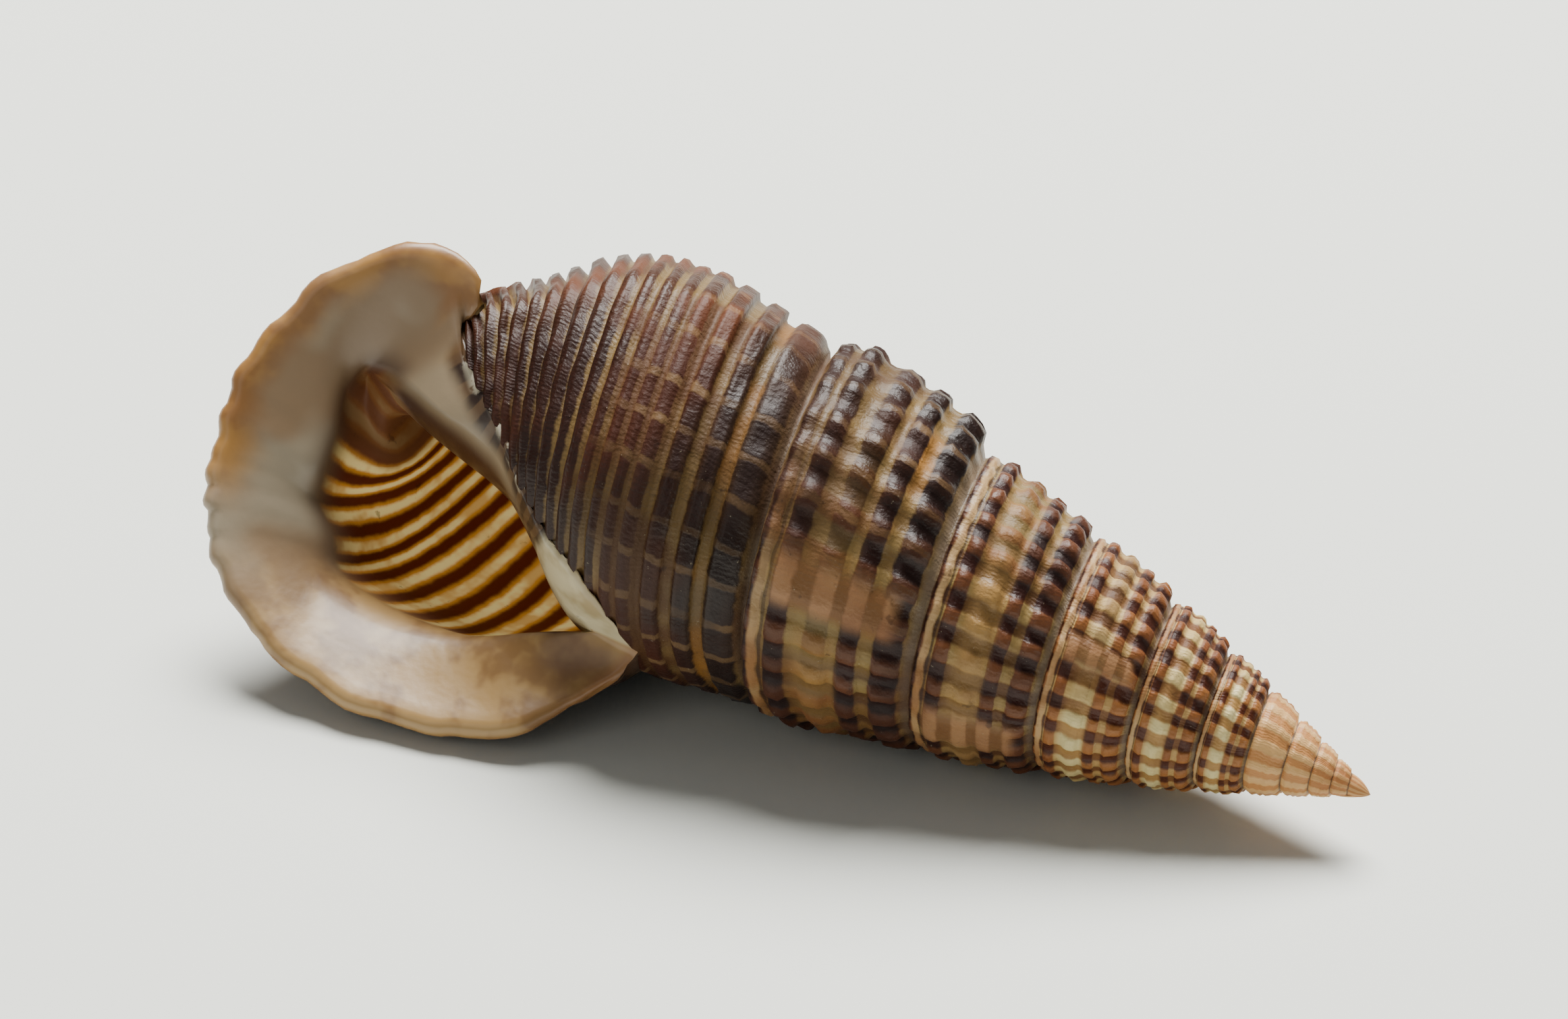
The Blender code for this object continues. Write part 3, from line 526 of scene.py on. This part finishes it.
for _ in range(smoothing_steps):
    rings = rings + ease * ((np.roll(rings, 1, 1) + np.roll(rings, -1, 1)) / 2 - rings)
ring_cord = np.r_[c[:-1], cp[1:][::-1]]
stripe_of_cord = Curve([0, 1.8, 2.5, 3.5, 5, 6.9, 8.6, 10.1, 12, 13.5, 15, 17, 18.4],
                       [0, 2, 3, 4, 5, 6, 7, 8, 9, 10, 11, 12, 13])
ring_stripe = stripe_of_cord(ring_cord)
on_callus = np.r_[np.zeros(rows), smooth(neck_cord - cp[1:][::-1], -0.1, 0.5)]
way_in = np.concatenate([np.zeros((1, around)), np.cumsum(np.linalg.norm(np.diff(rings, axis=0), axis=2), 0)])
middle_point = rings[-1].mean(0)
rings = np.concatenate([rings, (middle_point + (rings[-1] - middle_point) * 0.6)[None]], 0)
way_in = np.concatenate([way_in, way_in[-1:] + 2.0])
below_ids = last_ids[0][side_rows + 1:rows][::-1]
previous = last_ids[-1][:rows] + [neck_id] + below_ids
# in here the rib mark counts rings in from the mouth instead
previous_marks = [(a, 0, 0, 0.0, b, s) for a, b, s in zip(ring_cord, on_callus, ring_stripe)]
for r, ring in enumerate(rings):
    ids = shell_skin.add(ring)
    marks = [(a, r - shallow, 0, d + 0.1, b, s)
             for a, d, b, s in zip(ring_cord, way_in[r], on_callus, ring_stripe)]
    for a in range(around):
        b = (a + 1) % around
        shell_skin.face([previous[b], previous[a], ids[a], ids[b]],
                        [previous_marks[b], previous_marks[a], marks[a], marks[b]], 1)
    previous, previous_marks = ids, marks
blind_end = shell_skin.add(rings[-1].mean(0)[None])[0]
for a in range(around):
    b = (a + 1) % around
    shell_skin.face([previous[b], previous[a], blind_end],
                    [previous_marks[b], previous_marks[a], previous_marks[a]], 1)

# The shell as it lies: rolled and tipped until it rests on its back and spire, tip to +X, mouth
# to -Y, the lowest bumps worn a little flat. It replaces the plain solid of the same name.
roll_degrees, pitch_degrees = -35.8, 10.7
worn = 0.15
a, b = rad(roll_degrees), rad(pitch_degrees)
roll = np.array([[1, 0, 0], [0, np.cos(a), -np.sin(a)], [0, np.sin(a), np.cos(a)]])
pitch = np.array([[np.cos(b), 0, np.sin(b)], [0, 1, 0], [-np.sin(b), 0, np.cos(b)]])
laid = pitch @ roll @ np.diag([-1.0, -1.0, 1.0])
points = np.concatenate(shell_skin.points) @ laid.T
rest_offset = np.array([*(points.max(0) + points.min(0))[:2] / 2, points[:, 2].min() + worn])
points = points - rest_offset
points[:, 2] = np.maximum(points[:, 2], 0.0)

shell_mesh = bpy.data.meshes.new("grown_shell")
shell_mesh.from_pydata([tuple(p) for p in points * 0.001], [], shell_skin.faces)
marks = np.array([m for face in shell_skin.marks for m in face], float)
for i, name in enumerate(("cord", "rib", "growth", "way_in", "callus", "stripe")):
    layer = shell_mesh.attributes.new(name, "FLOAT", "CORNER")
    layer.data.foreach_set("value", marks[:, i].astype(np.float32))
shell_mesh.polygons.foreach_set("material_index", np.array(shell_skin.inside, np.int32))
shell_mesh.polygons.foreach_set("use_smooth", np.ones(len(shell_skin.faces), bool))
shell_mesh.update()
shell = bpy.data.objects.new("grown_shell", shell_mesh)
bpy.context.scene.collection.objects.link(shell)
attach(shell, "root")
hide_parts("shell")


# The outside's colour. Dark red-brown cords on an olive to cream ground; on the spire the beads
# are dark squares with tan tops on a cream band; old lips and the tip are pale pinkish tan.
class Wire:
    """One output in a material; sums on it add Math nodes."""

    def __init__(self, finish, socket):
        self.finish, self.socket = finish, socket

    def math(self, operation, *others):
        inputs = {str(i): v for i, v in enumerate((self,) + others)}
        return self.finish.node("ShaderNodeMath", {"operation": operation}, 0, **inputs)

    def __add__(self, other): return self.math("ADD", other)
    __radd__ = __add__
    def __mul__(self, other): return self.math("MULTIPLY", other)
    __rmul__ = __mul__
    def __sub__(self, other): return self.math("SUBTRACT", other)
    def __rsub__(self, other): return (self * -1) + other

    def wave(self):
        return (self * (2 * np.pi)).math("COSINE") * 0.5 + 0.5

    def over(self, low, high):
        """0 at low, 1 at high, smooth between; low may be the larger."""
        return self.finish.node("ShaderNodeMapRange", {"interpolation_type": "SMOOTHSTEP"}, 0,
                                Value=self, **{"From Min": low, "From Max": high})

    def near(self, middle, reach):
        return (self - middle).math("ABSOLUTE").over(reach, reach * 0.45)


class Finish:
    """A material put together node by node round one Principled shader."""

    def __init__(self, name):
        self.material = bpy.data.materials.new(name)
        self.material.use_nodes = True
        self.tree = self.material.node_tree
        self.shader = self.tree.nodes["Principled BSDF"]

    def node(self, kind, settings={}, output=0, **sockets):
        made = self.tree.nodes.new(kind)
        for name, value in settings.items():
            setattr(made, name, value)
        for name, value in sockets.items():
            socket = made.inputs[int(name) if name.isdigit() else name]
            if isinstance(value, Wire):
                self.tree.links.new(value.socket, socket)
            else:
                socket.default_value = value
        return Wire(self, made.outputs[output])

    def mark(self, name):
        return self.node("ShaderNodeAttribute", {"attribute_name": name}, 2)

    def blend(self, amount, a, b):
        return self.node("ShaderNodeMix", {"data_type": "RGBA"}, 2, **{"0": amount, "6": a, "7": b})

    def noise(self, place_, scale, detail=3.0, rough=0.55):
        return self.node("ShaderNodeTexNoise", {}, 0,
                         Vector=place_, Scale=scale, Detail=detail, Roughness=rough)

    def out(self, name, value):
        if isinstance(value, Wire):
            self.tree.links.new(value.socket, self.shader.inputs[name])
        else:
            self.shader.inputs[name].default_value = value


def paint(red, green, blue):
    """A colour as it is seen, 0 to 255, turned into light."""
    seen = np.array([red, green, blue]) / 255
    return tuple(float(v) for v in (0.94 * seen + 0.06 * seen.mean()) ** 2.9) + (1.0,)


corded = Finish("corded_outside")
cord, rib, grown = corded.mark("cord"), corded.mark("rib"), corded.mark("growth")
where = corded.node("ShaderNodeTexCoord", {}, 3)
region = corded.noise(where, 95.0, 2.0)
patch = corded.noise(where, 260.0, 2.0)
speck = corded.noise(where, 1400.0, 3.0, 0.6)
fine = corded.noise(where, 5200.0, 2.0, 0.6)
patches = patch.over(0.40, 0.62)
regions = region.over(0.42, 0.60)
rough_edge = speck * 0.22 - 0.11
bead = (rib + rough_edge * 0.8).wave()
seam_wave = bead * 0.14 * cord.over(3.7, 4.2)
ridge = (cord + rough_edge * 0.8 + 0.5).wave()
last = grown.over(-420.0, -300.0)
late_spire = grown.over(-1150.0, -620.0)
near_tip = (grown + patch * 260.0).over(-1800.0, -2000.0)
on_rib = bead.over(0.30, 0.70)

cord_top = corded.blend(late_spire, corded.blend(patches, paint(166, 118, 72), paint(138, 90, 54)),
                        corded.blend(patches, paint(122, 82, 58), paint(98, 62, 42)))
cord_gap = corded.blend(late_spire, corded.blend(patches, paint(98, 56, 34), paint(74, 40, 26)),
                        corded.blend(patches, paint(74, 42, 34), paint(58, 34, 30)))
spire_cord = corded.blend(on_rib, cord_gap, cord_top)
groove_top = corded.blend(late_spire, paint(186, 156, 106),
                          corded.blend(patches, paint(162, 140, 94), paint(138, 106, 64)))
groove_gap = corded.blend(late_spire, corded.blend(patches, paint(136, 98, 62), paint(112, 74, 46)),
                          corded.blend(regions, paint(148, 124, 80), paint(112, 82, 52)))
spire_groove = corded.blend(on_rib, groove_gap, groove_top)
spire = corded.blend(ridge.over(0.20, 0.42), spire_groove, spire_cord)
band_top = corded.blend(late_spire, corded.blend(patches, paint(214, 200, 152), paint(196, 172, 118)),
                        corded.blend(patches, paint(172, 136, 84), paint(146, 104, 66)))
band_gap = corded.blend(late_spire, corded.blend(patches, paint(176, 142, 92), paint(128, 90, 56)),
                        corded.blend(regions, paint(170, 150, 102), paint(140, 112, 72)))
band = corded.blend(on_rib, band_gap, band_top)
in_band = cord.near(2.45, 0.82)
spire = corded.blend(in_band * (0.50 + 0.50 * regions), spire, band)
seam_cord = cord + seam_wave
seam_paint = corded.blend(patches, paint(196, 166, 124), paint(170, 130, 88))
spire = corded.blend(seam_cord.near(4.42, 0.30) * 0.9, spire, seam_paint)
seam_lines = (seam_cord.near(4.05, 0.13) + seam_cord.near(4.84, 0.13)).math("MINIMUM", 1.0)
spire = corded.blend(seam_lines * 0.65, spire, paint(70, 44, 36))
spire = corded.blend(late_spire * 0.13, spire, paint(40, 28, 18))

cross_line = (rib + rough_edge).wave().over(0.86, 0.97) * cord.over(7.5, 3.0) * (0.35 + 0.65 * patches)
last_cord = corded.blend(patches, paint(66, 38, 24), paint(88, 50, 28))
last_cord = corded.blend(cord.over(2.4, 0.8) * 0.75, last_cord, paint(46, 34, 30))
last_cord = corded.blend(cross_line * 0.75, last_cord, paint(138, 112, 80))
# Partly real, partly painted light: the cords on the upper side of the last whorl are paler and more orange,
# and are also lightened as painted light where the light from above falls on them.
lit_front = grown.near(92.0, 62.0)
worn_and_lit_top = corded.blend(patches, paint(112, 76, 52), paint(146, 92, 50))
last_cord = corded.blend(lit_front * 0.40, last_cord, worn_and_lit_top)
last_groove = corded.blend(patches, paint(136, 114, 76), paint(108, 78, 50))
last_groove = corded.blend(cord.near(1.0, 0.35) * patches * 0.8, last_groove, paint(176, 132, 70))
last_whorl = corded.blend(ridge.over(0.20, 0.44), last_groove, last_cord)
dark_bands = region.over(0.50, 0.36) * 0.5
last_whorl = corded.blend(dark_bands, last_whorl, corded.blend(ridge, paint(96, 76, 56), paint(58, 38, 32)))
seam_band = (cord.over(0.22, 0.05) + seam_cord.over(4.86, 4.97) * (1 - last)).math("MINIMUM", 1.0)
outside = corded.blend(last, spire, last_whorl)
tip_rib = corded.blend(patches, paint(214, 176, 124), paint(200, 156, 106))
tip_gap = corded.blend(patches, paint(196, 146, 96), paint(180, 128, 82))
outside = corded.blend(near_tip, outside, corded.blend(on_rib, tip_gap, tip_rib))
seam_grey = corded.blend(patches, paint(128, 114, 100), paint(104, 84, 70))
outside = corded.blend(seam_band * 0.75, outside, seam_grey)

pads = None
for p, w in old_lips:
    one = (grown + rough_edge * 9.0).near(float(p), w * 0.9)
    pads = one if pads is None else pads.math("MAXIMUM", one)
pads = pads * cord.over(0.3, 0.7) * cord.over(4.1, 3.7)
pad_colour = corded.blend(ridge.over(0.25, 0.6), paint(134, 100, 68),
                          corded.blend(patches, paint(168, 132, 98), paint(148, 108, 76)))
outside = corded.blend(pads * 0.92, outside, pad_colour)
outside = corded.blend(speck.over(0.64, 0.74) * 0.45, outside, paint(60, 40, 32))
outside = corded.blend(fine.over(0.70, 0.80) * 0.30, outside, paint(206, 196, 172))
corded.out("Base Color", outside)
corded.out("Roughness", 0.47 + 0.16 * patches - 0.05 * ridge)
growth_lines = (rib * 7.0 + patch * 5.0 + speck * 2.5).wave()
corded.out("Normal", corded.node("ShaderNodeBump", {}, 0, Strength=0.45, Distance=0.00014,
                                 Height=growth_lines * 0.10 + fine * 0.5 + speck * 1.1 + patch * 1.8))
corded.out("Coat Weight", 0.03)
corded.out("Coat Roughness", 0.15)
corded.out("Specular IOR Level", 0.24)
shell_mesh.materials.append(corded.material)

# The glazed lip and the tube. Grey-taupe glaze with an ochre edge above, brightened with painted light, and a
# cream, brown-flecked sweep below, with painted shade where it turns into the mouth; the callus is cream
# where thick, lets the dark cords through where thin, and has painted shade as it runs into the tube; inside,
# the cords show as dark bands between golden stripes, with painted shade at the top and a painted glow that
# stands for light shining through the wall.
glazed = Finish("glazed_mouth")
cord, ring, stripe = glazed.mark("cord"), glazed.mark("rib"), glazed.mark("stripe")
way, callus = glazed.mark("way_in"), glazed.mark("callus")
where = glazed.node("ShaderNodeTexCoord", {}, 3)
cloud = glazed.noise(where, 190.0, 2.0)
patch = glazed.noise(where, 420.0, 3.0)
speck = glazed.noise(where, 1300.0, 3.0, 0.6)
low_side = (cord + cloud * 4.0 - 2.0).over(8.5, 4.5)
glaze = glazed.blend(cloud.over(0.42, 0.60), paint(166, 154, 134), paint(152, 130, 104))
low_glaze = glazed.blend(patch.over(0.45, 0.62), paint(178, 148, 100), paint(148, 116, 72))
glaze = glazed.blend(low_side, glaze, low_glaze)
brown = cloud.over(0.52, 0.64) * low_side
glaze = glazed.blend(brown * 0.7, glaze, paint(116, 82, 48))
# Partly real, partly painted light: the thin upper rim of the lip is ochre, and that ochre is made bright as
# painted light for light shining through the thin edge.
ochre = (way + cloud * 2.4 - 1.2).over(3.3, 1.5) * cord.over(8.5, 11.5) * cord.over(18.25, 17.9)
ochre_paint = glazed.blend(patch.over(0.4, 0.6), paint(178, 136, 74), paint(150, 108, 56))
glaze = glazed.blend(ochre * 0.85, glaze, ochre_paint)
edge = (way + cloud * 0.8 - 0.4).over(0.95, 0.25)
glaze = glazed.blend(edge * 0.6 * (1 - ochre), glaze, paint(148, 104, 62))
# Painted shade: the glaze darkens to grey-brown over the last rings before the mouth, where it curves in out
# of the light, less so on the low side.
mouth_edge_shade = ring.over(-7.0, -1.0) * (1 - callus)
glaze = glazed.blend(mouth_edge_shade * (0.85 - 0.45 * low_side), glaze, paint(112, 92, 76))

thick_callus = (cord + speck * 0.8 - 0.4).over(9.8, 9.0)
inner_callus = (way + patch * 0.8 - 0.4).over(0.75, 1.7) * cord.over(11.0, 14.0)
under_cords = (cord + speck * 0.2 + 0.4).wave().over(0.35, 0.6)
seen_through = glazed.blend(under_cords, paint(112, 90, 68), paint(74, 56, 46))
callus_paint = glazed.blend(inner_callus, seen_through, paint(166, 150, 126))
shreds = (speck + patch).over(1.02, 1.12) * way.over(0.75, 0.15)
callus_paint = glazed.blend(shreds, callus_paint, paint(206, 198, 178))
cream = glazed.blend(patch.over(0.42, 0.62), paint(200, 190, 160), paint(172, 156, 122))
callus_paint = glazed.blend(thick_callus, callus_paint, cream)
callus_paint = glazed.blend(way.over(0.22, 0.05) * thick_callus * 0.6, callus_paint, paint(120, 100, 74))

lining = (stripe + speck * 0.16 - 0.08 + cloud * 0.3 - 0.15).wave()
gold = glazed.blend(lining.over(0.12, 0.66), paint(104, 48, 18), paint(198, 144, 62))
gold = glazed.blend(lining.over(0.62, 0.98) * (0.35 + 0.65 * patch.over(0.40, 0.56)), gold,
                    paint(238, 216, 152))
# Painted shade: from the tenth stripe up the lining is brown, as the top of the tube lies in shadow.
gold = glazed.blend((stripe + cloud - 0.5).over(9.7, 10.6) * 0.92, gold, paint(108, 72, 44))
gold = glazed.blend(speck.over(0.66, 0.74) * 0.5, gold, paint(60, 26, 12))
in_tube = (ring + cloud * 3.0 - 1.5).over(-2.5, 1.8) * (1 - callus)
colour = glazed.blend(callus, glaze, callus_paint)
# Painted shade: the callus turns dark brown from two rings before the mouth on, where it runs into the shade
# of the tube.
colour = glazed.blend(callus * ring.over(-2.0, 3.0), colour, paint(92, 62, 40))
colour = glazed.blend(in_tube, colour, gold)
glazed.out("Base Color", colour)
# Painted light: the lining's gold glows from just inside the mouth to about 24 rings in, standing for light
# shining through the thin wall.
light_through = in_tube * ring.over(-2.0, 5.0) * ring.over(24.0, 8.0)
glazed.out("Emission Color", glazed.blend(light_through, (0.0, 0.0, 0.0, 1.0), gold))
glazed.out("Emission Strength", 0.45)
glazed.out("Roughness", 0.34 + 0.16 * patch + 0.25 * in_tube)
glazed.out("Normal", glazed.node("ShaderNodeBump", {}, 0, Strength=0.35, Distance=0.0003,
                                 Height=cloud * 1.0 + patch * 0.6 + speck * 0.12 - lining * in_tube * 1.0))
glazed.out("Coat Weight", 0.16 - 0.16 * in_tube)
glazed.out("Coat Roughness", 0.15)
shell_mesh.materials.append(glazed.material)

# The table top and the light. A plain pale surface, a large soft light above and behind the shell
# and a weak fill from the front, as by a window.
floor_mesh = bpy.data.meshes.new("table_top")
floor_mesh.from_pydata([(-3, -3, 0), (3, -3, 0), (3, 3, 0), (-3, 3, 0)], [], [(0, 1, 2, 3)])
floor = bpy.data.objects.new("table_top", floor_mesh)
bpy.context.scene.collection.objects.link(floor)
pale = Finish("pale_table")
pale.out("Base Color", paint(226, 228, 222))
pale.out("Roughness", 0.8)
floor_mesh.materials.append(pale.material)

room = bpy.data.worlds.new("soft_room")
bpy.context.scene.world = room
room.use_nodes = True
sky = room.node_tree.nodes["Background"]
sky.inputs["Color"].default_value = (0.90, 0.93, 0.95, 1)
sky.inputs["Strength"].default_value = 0.18


def soft_light(name, place_, aim, size, power, colour):
    light = bpy.data.lights.new(name, "AREA")
    light.shape, light.size, light.energy, light.color = "DISK", size, power, colour
    holder = bpy.data.objects.new(name, light)
    bpy.context.scene.collection.objects.link(holder)
    holder.location = place_
    holder.rotation_euler = (Vector(aim) - Vector(place_)).to_track_quat("-Z", "Y").to_euler()


soft_light("window", (-0.09, 0.25, 0.50), (0, 0, 0.01), 0.40, 12.2, (1.0, 0.99, 0.96))
soft_light("fill", (-0.10, -0.45, 0.30), (0, 0, 0.01), 0.35, 0.35, (1.0, 0.97, 0.92))

# The camera looks down at the mouth's side from about 30 degrees, close, with the tip low on the
# right. It is set from the coil: how far the axis drops in the picture and leans to the viewer.
picture = (2380, 1547)
tip_pixel = (2082.5, 1207.9)
focal_pixels = 7110.0
camera_far = 192.0
axis_drop, tip_lean = rad(24.0), rad(12.5)
along_axis = np.array([np.cos(axis_drop), -np.sin(axis_drop), 0])
over_axis = np.array([np.sin(axis_drop), np.cos(axis_drop), 0])
to_viewer = np.array([0, 0, 1.0])
to_tip = np.cos(tip_lean) * along_axis + np.sin(tip_lean) * to_viewer
to_front = -np.sin(tip_lean) * along_axis + np.cos(tip_lean) * to_viewer
turned = laid @ np.stack([-to_tip, to_front, over_axis])
tip_across = (tip_pixel[0] - picture[0] / 2) * camera_far / focal_pixels
tip_down = (tip_pixel[1] - picture[1] / 2) * camera_far / focal_pixels
eye = (turned @ np.array([-tip_across, tip_down, camera_far]) - rest_offset) * 0.001
camera = bpy.data.objects.new("camera", bpy.data.cameras.new("camera"))
bpy.context.scene.collection.objects.link(camera)
camera.matrix_world = Matrix([[*turned[i], eye[i]] for i in range(3)] + [[0, 0, 0, 1]])
camera.data.sensor_width = 36.0
camera.data.lens = 36.0 * focal_pixels / picture[0]
camera.data.clip_start, camera.data.clip_end = 0.005, 20.0
bpy.context.scene.camera = camera
